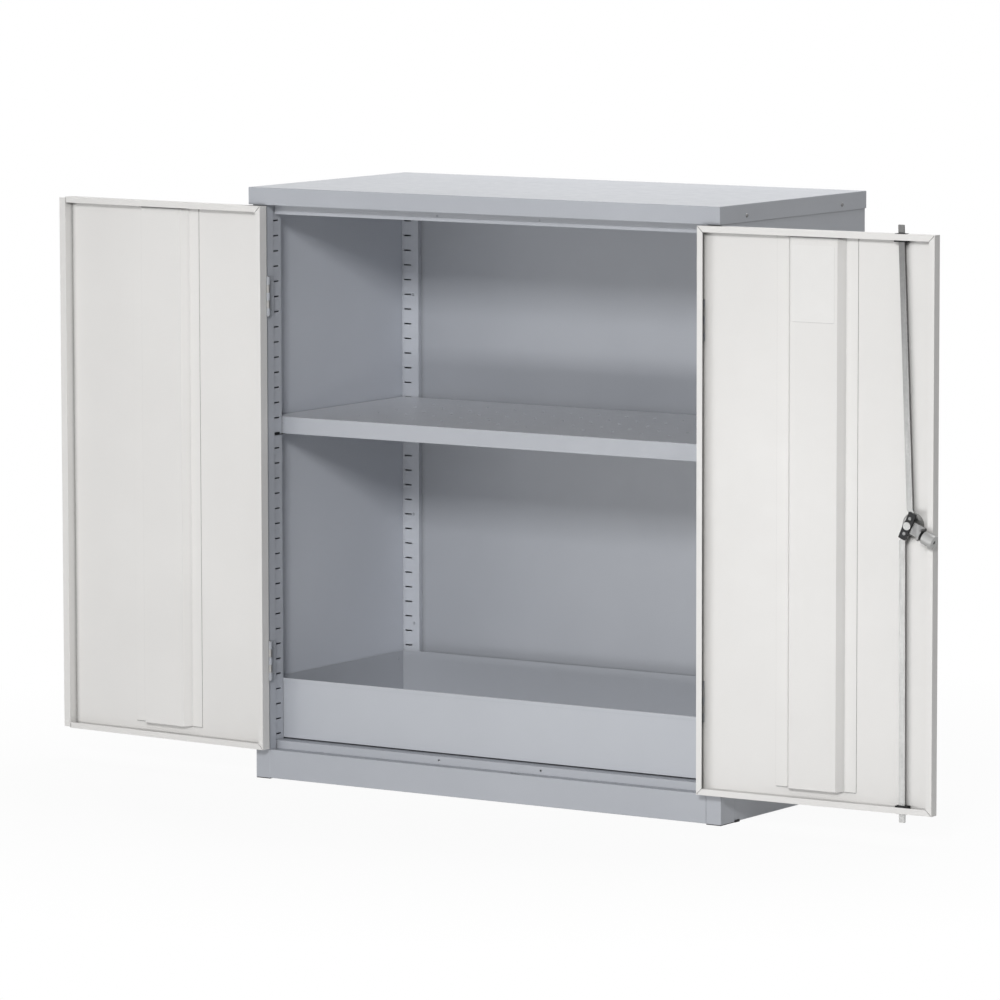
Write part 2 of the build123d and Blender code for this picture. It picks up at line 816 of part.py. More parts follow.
# Lock base, a turned flange with a stop stud
lock_axis = Axis((lock_x, 0, lock_z), (0, 1, 0))
spindle_bore = spindle_corner + spindle_fit
with BuildPart() as lock_base:
    with BuildSketch(Plane.XY.offset(lock_z)):
        with BuildLine():
            Polyline(
                (lock_x + spindle_bore, skin_in),
                (lock_x + base_radius, skin_in),
                (lock_x + base_radius, skin_in + base_edge),
                (lock_x + base_top_radius, skin_in + base_thick),
                (lock_x + spindle_bore, skin_in + base_thick),
                close=True,
            )
        make_face()
    revolve(axis=lock_axis)
    with BuildSketch(Plane.XZ.offset(-skin_in)):
        with Locations((stud_x, stud_z)):
            RegularPolygon(stud_radius, small_sides)
    extrude(amount=-stud_long)
save(opened(lock_base.part, 1), "lock_base")

# Escutcheon on the door's outside
with BuildPart() as escutcheon:
    with BuildSketch(Plane.XZ.offset(-post_front)):
        with Locations((lock_x, lock_z)):
            RectangleRounded(plate_wide, plate_tall, plate_corner)
    extrude(amount=plate_thick)
    chamfer(escutcheon.faces().sort_by(Axis.Y)[0].edges(), plate_edge)
    with BuildSketch(Plane.XZ.offset(-post_front)):
        with Locations((lock_x, lock_z)):
            Circle(spindle_bore)
    extrude(amount=plate_thick, mode=Mode.SUBTRACT)
save(opened(escutcheon.part, 1), "lock_escutcheon")

# Square spindle through the door, with a shoulder under the cam
with BuildPart() as spindle:
    spindle_start = hub_back - hub_socket
    shoulder_start = skin_in + base_thick + stack_gap
    with BuildSketch(Plane.XZ.offset(-spindle_start)):
        with Locations((lock_x, lock_z)):
            Rectangle(spindle_wide, spindle_wide)
    extrude(amount=-(rotor_top - spindle_start))
    with BuildSketch(Plane.XZ.offset(-shoulder_start)):
        with Locations((lock_x, lock_z)):
            RegularPolygon(collar_radius, disc_sides)
    extrude(amount=-(cam_y - shoulder_start))
save(opened(turned(spindle.part), 1), "lock_spindle")

# Cranked cam tongue
with BuildPart() as cam:
    cam_tall = roller_y + axle_radius + cam_rim - cam_y
    with BuildSketch(Plane.XZ.offset(-cam_y)):
        with Locations((lock_x, lock_z)):
            Circle(cam_wide / 2)
            Rectangle(cam_reach, cam_wide, align=(Align.MAX, Align.CENTER))
            Rectangle(spindle_wide, spindle_wide, mode=Mode.SUBTRACT)
    extrude(amount=-cam_thick)
    with BuildSketch(Plane.YZ.offset(lock_x - cam_reach)):
        with Locations((cam_y, lock_z)):
            Rectangle(cam_tall, cam_wide, align=(Align.MIN, Align.CENTER))
        with Locations((roller_y, lock_z)):
            RegularPolygon(axle_radius, small_sides, mode=Mode.SUBTRACT)
    extrude(amount=cam_riser)
    end_edges = cam.edges().filter_by(Axis.Y).group_by(Axis.X)[0]
    chamfer(end_edges, cam_corner / 2)
    top_edges = cam.edges().filter_by(Axis.X).group_by(Axis.Y)[-1]
    chamfer(top_edges, cam_corner)
save(opened(turned(cam.part), 1), "cam_tongue")

# Axle of the roller with its washer, riveted into the tongue
with BuildPart() as axle:
    with BuildSketch(Plane.YZ.offset(lock_x - cam_reach + cam_riser)):
        with Locations((roller_y, lock_z)):
            RegularPolygon(axle_radius, small_sides)
    extrude(amount=-(roller_far - axle_short - cam_reach + cam_riser))
    with BuildSketch(Plane.YZ.offset(lock_x - cam_reach)):
        with Locations((roller_y, lock_z)):
            RegularPolygon(washer_radius, disc_sides)
    extrude(amount=-(roller_near - stack_gap - cam_reach))
save(opened(turned(axle.part), 1), "roller_axle")

# Roller
with BuildPart() as roller:
    with BuildSketch(Plane.XY.offset(lock_z)):
        with Locations((lock_x - roller_near, roller_y + axle_radius + axle_fit)):
            rim = Rectangle(roller_far - roller_near, roller_radius - axle_radius - axle_fit,
                            align=(Align.MAX, Align.MIN))
        chamfer(rim.vertices().group_by(Axis.Y)[-1], roller_edge)
    revolve(axis=Axis((lock_x, roller_y, lock_z), (1, 0, 0)))
save(opened(turned(roller.part), 1), "roller")

# Rotor that drives the rods
with BuildPart() as rotor:
    with BuildSketch(Plane.XZ.offset(-rotor_y)) as rotor_sketch:
        with Locations((lock_x - rotor_shift, lock_z)):
            Rectangle(rotor_wide, rotor_long / 2, align=(Align.CENTER, Align.MIN))
        with Locations((lock_x + rotor_shift, lock_z)):
            Rectangle(rotor_wide, rotor_long / 2, align=(Align.CENTER, Align.MAX))
        ends = rotor_sketch.vertices().group_by(Axis.Y)
        chamfer(ends[0] + ends[-1], rotor_corner)
        with Locations((lock_x, lock_z)):
            Rectangle(spindle_wide, spindle_wide, mode=Mode.SUBTRACT)
            with GridLocations(rotor_wide + 2 * rotor_shift, 1, 2, 1):
                Rectangle(2 * notch_deep, notch_wide, mode=Mode.SUBTRACT)
            with GridLocations(1, 2 * throw, 1, 2):
                RegularPolygon(throw_pin, small_sides, mode=Mode.SUBTRACT)
    extrude(amount=-rotor_thick)
save(opened(turned(rotor.part), 1), "rotor")

# Headed pins that carry the rods
with BuildPart() as rotor_pins:
    with BuildSketch(Plane.XZ.offset(-rod_y)):
        with Locations((lock_x, lock_z)):
            with GridLocations(1, 2 * throw, 1, 2):
                RegularPolygon(throw_pin, small_sides)
    extrude(amount=-(rotor_top - rod_y))
    with BuildSketch(Plane.XZ.offset(-rotor_top)):
        with Locations((lock_x, lock_z)):
            with GridLocations(1, 2 * throw, 1, 2):
                RegularPolygon(pin_head, small_sides)
    extrude(amount=-pin_head_tall)
save(opened(turned(rotor_pins.part), 1), "rotor_pins")

# Screw that closes the stack, with a round recess
with BuildPart() as cam_screw:
    with BuildSketch(Plane.XZ.offset(-rotor_top)):
        with Locations((lock_x, lock_z)):
            RegularPolygon(screw_radius, disc_sides)
    extrude(amount=-screw_thick)
    chamfer(cam_screw.faces().sort_by(Axis.Y)[-1].edges(), screw_edge)
    with BuildSketch(Plane.XZ.offset(-(rotor_top + screw_thick))):
        with Locations((lock_x, lock_z)):
            RegularPolygon(screw_recess, small_sides)
    extrude(amount=screw_recess_deep, mode=Mode.SUBTRACT)
save(opened(turned(cam_screw.part), 1), "cam_screw")

# Outside handle: a hub and a tapering grip
with BuildPart() as handle:
    with BuildSketch(Plane.XZ.offset(-hub_back)):
        with Locations((lock_x, lock_z)):
            Circle(hub_radius)
    extrude(amount=hub_long)
    chamfer(handle.faces().sort_by(Axis.Y)[0].edges(), hub_edge)
    with BuildSketch(Plane.XZ.offset(-(hub_back - grip_lift))):
        with Locations((lock_x, lock_z)):
            Circle(grip_root)
        with Locations((lock_x, lock_z - grip_long + grip_end)):
            Circle(grip_end)
        make_hull()
    extrude(amount=grip_thick)
    with BuildSketch(Plane.XZ.offset(-hub_back)):
        with Locations((lock_x, lock_z)):
            Rectangle(spindle_wide, spindle_wide)
    extrude(amount=hub_socket, mode=Mode.SUBTRACT)
    with BuildSketch(Plane.XZ.offset(-(hub_back - hub_long))):
        with Locations((lock_x, lock_z)):
            Circle(plug_radius + plug_fit)
    extrude(amount=-plug_long, mode=Mode.SUBTRACT)
save(opened(turned(handle.part), 1), "lock_handle")

# Key plug in the handle's hub
with BuildPart() as plug:
    plug_face = hub_back - hub_long - plug_proud
    with BuildSketch(Plane.XZ.offset(-plug_face)):
        with Locations((lock_x, lock_z)):
            Circle(plug_radius)
    extrude(amount=-(plug_proud + plug_long - stack_gap))
    with BuildSketch(Plane.XZ.offset(-plug_face)):
        with Locations((lock_x, lock_z)):
            Rectangle(key_wide, key_tall)
    extrude(amount=-key_deep, mode=Mode.SUBTRACT)
save(opened(turned(plug.part), 1), "key_plug")


def rod(crank, tip, pin_shift):
    """Flat lock rod at rest on the closed door, cranked to its eye on the rotor."""
    rest = math.radians(lock_rest)
    eye = (lock_x - pin_shift * math.sin(rest), lock_z + pin_shift * math.cos(rest))
    half = rod_wide / 2
    with BuildPart() as strip:
        with BuildSketch(Plane.XZ.offset(-rod_y)):
            with BuildLine():
                Polyline(
                    (crank[0] - half, crank[1]),
                    (tip[0] - half, tip[1]),
                    (tip[0] + half, tip[1]),
                    (crank[0] + half, crank[1]),
                    (eye[0] + rod_eye, eye[1]),
                    (eye[0] - rod_eye, eye[1]),
                    close=True,
                )
            make_face()
            with Locations(eye):
                Circle(rod_eye)
                RegularPolygon(around(throw_pin + rod_eye_fit, small_sides), small_sides, mode=Mode.SUBTRACT)
        extrude(amount=-rod_thick)
        tip_side = -1 if tip[1] > crank[1] else 0
        chamfer(strip.edges().filter_by(Axis.Y).group_by(Axis.Z)[tip_side], rod_corner)
    return strip.part


save(opened(rod(upper_crank, upper_tip, throw), 1), "upper_rod")
save(opened(rod(lower_crank, lower_tip, -throw), 1), "lower_rod")


def rod_guide(tip, edge, up):
    """Guide block inside a door edge, its neck passing through, slotted for a rod."""
    centre = (tip[0] - guide_offset, (guide_front + guide_back) / 2)
    block_deep = guide_back - guide_front
    inner = edge - up * thin
    with BuildPart() as guide:
        with BuildSketch(Plane.XY.offset(inner)):
            with Locations(centre):
                Rectangle(guide_wide, block_deep)
        extrude(amount=-up * guide_tall)
        with BuildSketch(Plane.XY.offset(inner)):
            with Locations(centre):
                Rectangle(guide_slot + 2 * guide_web, block_deep - 2 * guide_neck)
        extrude(amount=up * (thin + guide_proud))
        with BuildSketch(Plane.XY.offset(inner - up * guide_tall)):
            with Locations((centre[0], rod_y + rod_thick / 2)):
                Rectangle(guide_slot, rod_thick + 2 * guide_fit)
        extrude(amount=up * (guide_tall + thin + guide_proud), mode=Mode.SUBTRACT)
    return guide.part


save(opened(rod_guide(upper_tip, door_high, 1), 1), "upper_rod_guide")
save(opened(rod_guide(lower_tip, door_low, -1), 1), "lower_rod_guide")
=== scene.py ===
# %% [markdown]
# # A steel chemical cupboard with its doors open
# The cupboard's shapes come from its CAD model. This lesson dresses them: it sets up the
# camera, gives every part its real finish, adds the few things that only the look needs,
# and lights the scene like a plain product picture.

# %% Load the model
import json
import math
import bpy
from mathutils import Matrix, Vector


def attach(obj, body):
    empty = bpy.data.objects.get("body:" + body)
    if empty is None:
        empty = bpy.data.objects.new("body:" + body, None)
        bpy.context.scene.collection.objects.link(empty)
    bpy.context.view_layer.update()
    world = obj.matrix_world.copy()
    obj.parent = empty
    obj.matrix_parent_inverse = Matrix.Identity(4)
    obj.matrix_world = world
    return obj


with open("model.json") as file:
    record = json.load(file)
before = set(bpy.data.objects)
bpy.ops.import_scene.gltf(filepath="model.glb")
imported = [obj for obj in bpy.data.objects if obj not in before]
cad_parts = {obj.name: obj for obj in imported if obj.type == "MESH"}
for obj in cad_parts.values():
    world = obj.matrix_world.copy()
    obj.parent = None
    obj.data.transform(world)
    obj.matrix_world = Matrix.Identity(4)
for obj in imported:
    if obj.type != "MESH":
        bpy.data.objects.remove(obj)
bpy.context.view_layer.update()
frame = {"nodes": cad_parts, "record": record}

nodes = frame["nodes"]

# %% [markdown]
# ## The camera
# The picture was taken from far away with a long lens, a little above the cap and well to
# the right. A long lens keeps the uprights almost parallel. The place, the two angles and
# the slight roll are built into one matrix from three directions, which is easier to read
# than three chained rotations.

# %% Place the camera
LENS_MM = 36.0 * 6299.5 / 1000.0
EYE = Vector((5.6452, -8.6861, 1.6656))
YAW, PITCH, ROLL = (math.radians(a) for a in (33.532, 6.559, -0.107))

ahead = Vector((-math.sin(YAW) * math.cos(PITCH),
                math.cos(YAW) * math.cos(PITCH),
                -math.sin(PITCH)))
level = Vector((math.cos(YAW), math.sin(YAW), 0))
above = level.cross(ahead)
right = level * math.cos(ROLL) + above * math.sin(ROLL)
up = above * math.cos(ROLL) - level * math.sin(ROLL)

camera_data = bpy.data.cameras.new("camera")
camera_data.lens = LENS_MM
camera_data.sensor_width = 36.0
camera_data.clip_end = 60.0
camera = bpy.data.objects.new("camera", camera_data)
bpy.context.scene.collection.objects.link(camera)
turn = Matrix((right, up, -ahead)).transposed()
camera.matrix_world = Matrix.Translation(EYE) @ turn.to_4x4()
bpy.context.scene.camera = camera
print("lens", round(LENS_MM, 1), "mm, eye", tuple(EYE))

# %% [markdown]
# ## Small helpers for materials
# Each finish here is one Principled shader with a few nodes before it. A helper makes the
# empty material and another adds a node and fills in its values, so that each recipe below
# stays a short list of what the real surface does.

# %% Material helpers
def new_finish(name):
    """An empty material with its shader, output and object coordinates."""
    finish = bpy.data.materials.new(name)
    finish.use_nodes = True
    tree = finish.node_tree
    tree.nodes.clear()
    out = tree.nodes.new("ShaderNodeOutputMaterial")
    shader = tree.nodes.new("ShaderNodeBsdfPrincipled")
    place = tree.nodes.new("ShaderNodeTexCoord")
    tree.links.new(shader.outputs["BSDF"], out.inputs["Surface"])
    return finish, tree, shader, place.outputs["Object"]


def add(tree, kind, inputs=None, **settings):
    """Add a node, set its properties, and link or set its inputs."""
    node = tree.nodes.new(kind)
    for key, value in settings.items():
        setattr(node, key, value)
    for key, value in (inputs or {}).items():
        if isinstance(value, bpy.types.NodeSocket):
            tree.links.new(value, node.inputs[key])
        else:
            node.inputs[key].default_value = value
    return node


def tinted(tree, amount, dark, light):
    """A colour that runs between two tints as the amount goes from 0 to 1."""
    mix = add(tree, "ShaderNodeMix", data_type="RGBA")
    tree.links.new(amount, mix.inputs[0])
    mix.inputs[6].default_value = (*dark, 1)
    mix.inputs[7].default_value = (*light, 1)
    return mix.outputs[2]


def clamp_range(tree, value, low, high, out_low, out_high):
    """Map a value from one range to another and stop at the ends."""
    node = add(tree, "ShaderNodeMapRange", {"Value": value, "From Min": low, "From Max": high,
                                            "To Min": out_low, "To Max": out_high})
    return node.outputs["Result"]

print("helpers ready")

# %% [markdown]
# ## Powder coat
# The carcass and the doors are powder coated: a baked plastic skin with a soft shine, a fine
# orange peel you feel more than see, and sheet metal under it that is never quite flat. Noise
# at two sizes drives a bump for the peel and for the slow waves, and a faint change of tint
# keeps large panels from looking like a flat fill. Painted shade darkens the colour close under
# every lip: an occlusion test tilted up finds the places that an edge covers from above. Two
# painted lights go by the way a face looks. One lightens faces that look up, the other lightens
# faces that look in to the middle of the cupboard.

# %% Powder coat recipe
# painted light: the pale tint that faces looking up are mixed towards
PAINTED_TOP_LIGHT_TINT = (0.86, 0.87, 0.90, 1)
WHITE = (1, 1, 1, 1)
SHADE_REACH = 0.014


def powder_coat(name, dark, light, rough, peel, painted_edge_shade, painted_top_light=0.0, painted_inside_light=1.0):
    """Baked coating with orange peel, slow waves, painted shade under edges and painted light on
    faces that look up and on faces that look in.
    """
    finish, tree, shader, place = new_finish(name)
    facing = add(tree, "ShaderNodeNewGeometry").outputs["Normal"]
    cloud = add(tree, "ShaderNodeTexNoise", {"Vector": place, "Scale": 3.1, "Detail": 3.0})
    tint = tinted(tree, clamp_range(tree, cloud.outputs["Fac"], 0.35, 0.65, 0, 1), dark, light)
    height = add(tree, "ShaderNodeSeparateXYZ", {"Vector": facing}).outputs["Z"]
    # painted light: faces that look up are mixed towards a pale tint
    painted_top_light_mix = add(tree, "ShaderNodeMix", data_type="RGBA")
    tree.links.new(clamp_range(tree, height, 0.6, 0.95, 0, painted_top_light), painted_top_light_mix.inputs[0])
    # painted light: faces that look in to the middle of the cupboard are lightened by the given
    # gain
    spot = add(tree, "ShaderNodeNewGeometry").outputs["Position"]
    inward = add(tree, "ShaderNodeVectorMath", {0: facing, 1: spot}, operation="MULTIPLY")
    across = add(tree, "ShaderNodeSeparateXYZ", {"Vector": inward.outputs["Vector"]}).outputs["X"]
    painted_inside_light_mix = add(tree, "ShaderNodeMix", data_type="RGBA", blend_type="MULTIPLY")
    painted_inside_light_mix.inputs[0].default_value = 1.0
    tree.links.new(tint, painted_inside_light_mix.inputs[6])
    tree.links.new(clamp_range(tree, across, -0.2, -0.05, painted_inside_light, 1.0), painted_inside_light_mix.inputs[7])
    tree.links.new(painted_inside_light_mix.outputs[2], painted_top_light_mix.inputs[6])
    painted_top_light_mix.inputs[7].default_value = PAINTED_TOP_LIGHT_TINT
    # painted shade: the colour is darkened where an edge covers the face from above
    tilted = add(tree, "ShaderNodeVectorMath", {0: facing, 1: (0, 0, 1.6)}, operation="ADD")
    near = add(tree, "ShaderNodeAmbientOcclusion",
               {"Distance": SHADE_REACH, "Color": WHITE, "Normal": tilted.outputs["Vector"]},
               samples=8)
    tone = clamp_range(tree, near.outputs["AO"], 0.25, 0.60, painted_edge_shade, 1.0)
    shade = add(tree, "ShaderNodeMix", data_type="RGBA", blend_type="MULTIPLY")
    shade.inputs[0].default_value = 1.0
    tree.links.new(painted_top_light_mix.outputs[2], shade.inputs[6])
    tree.links.new(tone, shade.inputs[7])
    tree.links.new(shade.outputs[2], shader.inputs["Base Color"])
    speck = add(tree, "ShaderNodeTexNoise", {"Vector": place, "Scale": 60.0, "Detail": 2.0})
    tree.links.new(clamp_range(tree, speck.outputs["Fac"], 0.3, 0.7, rough - 0.03, rough + 0.05),
                   shader.inputs["Roughness"])
    grain = add(tree, "ShaderNodeTexNoise", {"Vector": place, "Scale": 620.0, "Detail": 2.0})
    wave = add(tree, "ShaderNodeTexNoise", {"Vector": place, "Scale": 4.5, "Detail": 1.0})
    fine = add(tree, "ShaderNodeBump",
               {"Height": grain.outputs["Fac"], "Strength": peel, "Distance": 0.0004})
    slow = add(tree, "ShaderNodeBump",
               {"Height": wave.outputs["Fac"], "Strength": 0.12, "Distance": 0.004,
                "Normal": fine.outputs["Normal"]})
    tree.links.new(slow.outputs["Normal"], shader.inputs["Normal"])
    shader.inputs["Specular IOR Level"].default_value = 0.5
    return finish


BODY = ((0.388, 0.405, 0.440), (0.413, 0.430, 0.465))
# painted light: the rear posts and the sump take lighter copies of the body paint, so the inside
# reads brighter
REAR_POSTS_LIT = ((0.545, 0.567, 0.612), (0.577, 0.600, 0.645))
SHELF = ((0.382, 0.399, 0.433), (0.407, 0.424, 0.459))
SUMP_LIT = ((0.445, 0.464, 0.500), (0.472, 0.491, 0.528))
DOOR = ((0.715, 0.705, 0.69), (0.75, 0.74, 0.725))
BODY_SKIN = {"rough": 0.34, "peel": 0.22}

# painted shade: each coat darkens under its edges down to its own share, and the doors darken most
body_coat = powder_coat("body_powder_coat", *BODY, **BODY_SKIN, painted_edge_shade=0.45)
lit_inner_coat = powder_coat("lit_inner_powder_coat", *REAR_POSTS_LIT, **BODY_SKIN, painted_edge_shade=0.80)
# painted light: the shelf's and the sump's faces that look up are paler
shelf_coat = powder_coat("shelf_powder_coat", *SHELF, **BODY_SKIN, painted_edge_shade=0.45, painted_top_light=0.70)
# painted light: the side panels and front posts are paler on faces that look in
side_coat = powder_coat("side_powder_coat", *BODY, **BODY_SKIN, painted_edge_shade=0.85, painted_inside_light=1.52)
post_coat = powder_coat("post_powder_coat", *BODY, **BODY_SKIN, painted_edge_shade=0.80, painted_inside_light=1.20)
sump_coat = powder_coat("sump_powder_coat", *SUMP_LIT, **BODY_SKIN, painted_edge_shade=0.95, painted_top_light=0.95)
door_coat = powder_coat("door_powder_coat", *DOOR, rough=0.42, peel=0.20, painted_edge_shade=0.10)
print("powder coats:", body_coat.name, lit_inner_coat.name, shelf_coat.name,
      side_coat.name, post_coat.name, sump_coat.name, door_coat.name)

# %% [markdown]
# ## Galvanised steel
# The rods, the hinges' door leaves, the screw and the lock's base are zinc plated: grey metal
# with a faint pattern of crystals and fine rolling lines. The tongue and the rotor's pins are
# duller. Voronoi cells give the crystals their slightly different tint, and noise stretched
# along the rod gives the lines. Each rod has painted shade that darkens it towards its top,
# and the upper rod takes a darker copy of the same zinc as painted shade.

# %% Zinc recipe
def zinc_plate(name, dark, light, fade=None):
    """Dull plated steel with crystals and rolling lines, with painted shade towards the top if it
    fades.
    """
    finish, tree, shader, place = new_finish(name)
    cells = add(tree, "ShaderNodeTexVoronoi", {"Vector": place, "Scale": 260.0})
    stretch = add(tree, "ShaderNodeMapping", {"Vector": place, "Scale": (900.0, 900.0, 25.0)})
    lines = add(tree, "ShaderNodeTexNoise",
                {"Vector": stretch.outputs["Vector"], "Scale": 1.0, "Detail": 3.0})
    spangle = tinted(tree, cells.outputs["Color"], dark, light)
    if fade:
        low, high, share = fade
        along = add(tree, "ShaderNodeSeparateXYZ", {"Vector": place}).outputs["Z"]
        # painted shade: the colour darkens towards the part's top
        painted_top_shade = add(tree, "ShaderNodeMix", data_type="RGBA", blend_type="MULTIPLY")
        painted_top_shade.inputs[0].default_value = 1.0
        tree.links.new(spangle, painted_top_shade.inputs[6])
        tree.links.new(clamp_range(tree, along, low, high, 1.0, share), painted_top_shade.inputs[7])
        spangle = painted_top_shade.outputs[2]
    tree.links.new(spangle, shader.inputs["Base Color"])
    tree.links.new(clamp_range(tree, lines.outputs["Fac"], 0.3, 0.7, 0.34, 0.52),
                   shader.inputs["Roughness"])
    bump = add(tree, "ShaderNodeBump",
               {"Height": lines.outputs["Fac"], "Strength": 0.15, "Distance": 0.0003})
    tree.links.new(bump.outputs["Normal"], shader.inputs["Normal"])
    shader.inputs["Metallic"].default_value = 0.85
    return finish


def height_span(name):
    """Lowest and highest point of a part in its own coordinates."""
    heights = [v.co.z for v in nodes[name].data.vertices]
    return min(heights), max(heights)


zinc = zinc_plate("galvanised_steel", (0.31, 0.31, 0.305), (0.36, 0.36, 0.355))
dull_zinc = zinc_plate("dull_pressed_steel", (0.15, 0.15, 0.15), (0.18, 0.18, 0.18))
hinge_steel = zinc_plate("rolled_hinge_steel", (0.33, 0.325, 0.315), (0.38, 0.375, 0.365))
# painted shade: the upper rod is a darker copy of the rod zinc, and both rods darken towards their
# tops
upper_zinc = zinc_plate("upper_rod_steel", (0.255, 0.255, 0.255), (0.30, 0.30, 0.295),
                        (*height_span("upper_rod"), 0.50))
lower_zinc = zinc_plate("lower_rod_steel", (0.33, 0.33, 0.325), (0.38, 0.38, 0.375),
                        (*height_span("lower_rod"), 0.78))
print("zinc:", zinc.name, dull_zinc.name, hinge_steel.name, upper_zinc.name, lower_zinc.name)

# %% [markdown]
# ## Bright plating
# The roller and the key plug are turned and nickel plated. Very fine turning lines break up
# the mirror a little, so a noise squeezed along one axis drives the roughness and a faint
# bump.

# %% Bright plating recipe
def bright_plate(name, dark, light, metal):
    """Turned and plated steel."""
    finish, tree, shader, place = new_finish(name)
    squeeze = add(tree, "ShaderNodeMapping", {"Vector": place, "Scale": (2600.0, 300.0, 300.0)})
    lines = add(tree, "ShaderNodeTexNoise",
                {"Vector": squeeze.outputs["Vector"], "Scale": 1.0, "Detail": 2.0})
    tree.links.new(tinted(tree, lines.outputs["Fac"], dark, light), shader.inputs["Base Color"])
    tree.links.new(clamp_range(tree, lines.outputs["Fac"], 0.3, 0.7, 0.34, 0.46),
                   shader.inputs["Roughness"])
    bump = add(tree, "ShaderNodeBump",
               {"Height": lines.outputs["Fac"], "Strength": 0.08, "Distance": 0.0002})
    tree.links.new(bump.outputs["Normal"], shader.inputs["Normal"])
    shader.inputs["Metallic"].default_value = metal
    return finish


plating = bright_plate("bright_plating", (0.40, 0.40, 0.40), (0.50, 0.50, 0.495), 0.55)
roller_plating = bright_plate("roller_plating", (0.36, 0.36, 0.355), (0.44, 0.44, 0.435), 0.30)
print("plating:", plating.name, roller_plating.name)

# %% [markdown]
# ## Black parts
# The rotor, the roller's axle and the shelf's clips are steel with a thin black coat. The
# guides, the glides and the outside handle are moulded plastic with a spark-eroded grain.
# Both are nearly the same black, so the difference is in the shine: the steel is smoother,
# the plastic has a pebbled bump.

# %% Black recipes
def black_surface(name, colour, rough, scale, strength, shine):
    """Dark surface whose grain scatters its shine."""
    finish, tree, shader, place = new_finish(name)
    grain = add(tree, "ShaderNodeTexNoise", {"Vector": place, "Scale": scale, "Detail": 3.0})
    lighter = tuple(c * 1.7 for c in colour)
    tree.links.new(tinted(tree, grain.outputs["Fac"], colour, lighter), shader.inputs["Base Color"])
    tree.links.new(clamp_range(tree, grain.outputs["Fac"], 0.3, 0.7, rough - 0.06, rough + 0.06),
                   shader.inputs["Roughness"])
    bump = add(tree, "ShaderNodeBump", {"Height": grain.outputs["Fac"], "Strength": strength,
                                        "Distance": 0.0004})
    tree.links.new(bump.outputs["Normal"], shader.inputs["Normal"])
    shader.inputs["Specular IOR Level"].default_value = shine
    return finish


black_steel = black_surface("black_coated_steel", (0.005, 0.005, 0.006), 0.30, 500.0, 0.15, 0.14)
black_mould = black_surface("black_moulding", (0.008, 0.008, 0.009), 0.55, 900.0, 0.45, 0.22)
print("blacks:", black_steel.name, black_mould.name)

# %% [markdown]
# ## Give each part its finish
# The record says which slot each part takes its finish from. One table turns slots into the
# materials above. A second table names the parts whose finish differs from their slot's.

# %% Dress the parts
FINISH_OF = {
    "body_paint": body_coat,
    "door_paint": door_coat,
    "zinc": zinc,
    "chrome": plating,
    "black_metal": black_steel,
    "black_plastic": black_mould,
}
FINISH_BY_NAME = {
    "shelf": shelf_coat,
    "sump_tray": sump_coat,
    "left_front_post": post_coat,
    "right_front_post": post_coat,
    "left_side_panel": side_coat,
    "right_side_panel": side_coat,
    "left_rear_post": lit_inner_coat,
    "right_rear_post": lit_inner_coat,
    "cam_tongue": dull_zinc,
    "cap_screws": dull_zinc,
    "roller": roller_plating,
    "roller_axle": black_steel,
    "rotor_pins": dull_zinc,
    "cam_screw": zinc,
    "upper_rod": upper_zinc,
    "lower_rod": lower_zinc,
    "left_door_hinge_leaves": hinge_steel,
    "right_door_hinge_leaves": hinge_steel,
}
slot_of = {entry["node"]: entry["material_slot"] for entry in frame["record"]["subparts"]}
for name, part in nodes.items():
    part.data.materials.clear()
    part.data.materials.append(FINISH_BY_NAME.get(name, FINISH_OF[slot_of[name]]))
print({slot: sum(1 for s in slot_of.values() if s == slot) for slot in FINISH_OF})

# %% [markdown]
# ## The sticker inside the right door
# A large plain sticker sits near the top of the right door's stiffener. It is a thin film in
# nearly the door's colour, with rounded corners. It is built flat on the shut door and swung
# by the door's angle at rest, so it lies exactly on the stiffener's face.

# %% Make the sticker
HINGE = Vector((0.4244, -0.2225, 0))
OPEN_ANGLE = math.radians(181.7)
DOOR_SWING = (Matrix.Translation(HINGE) @ Matrix.Rotation(OPEN_ANGLE, 4, "Z")
              @ Matrix.Translation(-HINGE))
HINGE_EDGE = 0.42535
STIFFENER_FACE = -0.2194 + 0.001 + 0.0136
FILM_BACK, FILM_FRONT = 0.00004, 0.00022
FILM_TINTS = ((0.722, 0.714, 0.70), (0.748, 0.74, 0.726))


def rounded_outline(left, right_x, low, high, radius, steps=6):
    """Corner points of a rectangle with round corners."""
    points = []
    corners = ((right_x - radius, high - radius, 0), (left + radius, high - radius, 90),
               (left + radius, low + radius, 180), (right_x - radius, low + radius, 270))
    for cx, cz, start in corners:
        for step in range(steps + 1):
            angle = math.radians(start + 90 * step / steps)
            points.append((cx + radius * math.cos(angle), cz + radius * math.sin(angle)))
    return points


outline = rounded_outline(HINGE_EDGE - 0.2455, HINGE_EDGE - 0.1695, 0.8155, 0.9360, 0.003)
count = len(outline)
verts = [(x, STIFFENER_FACE + FILM_BACK, z) for x, z in outline]
verts += [(x, STIFFENER_FACE + FILM_FRONT, z) for x, z in outline]
faces = [tuple(range(count)), tuple(reversed(range(count, 2 * count)))]
faces += [(i, i + count, (i + 1) % count + count, (i + 1) % count) for i in range(count)]
sticker_mesh = bpy.data.meshes.new("sticker")
sticker_mesh.from_pydata([DOOR_SWING @ Vector(v) for v in verts], [], faces)
sticker_mesh.update()
sticker = bpy.data.objects.new("sticker", sticker_mesh)
bpy.context.scene.collection.objects.link(sticker)

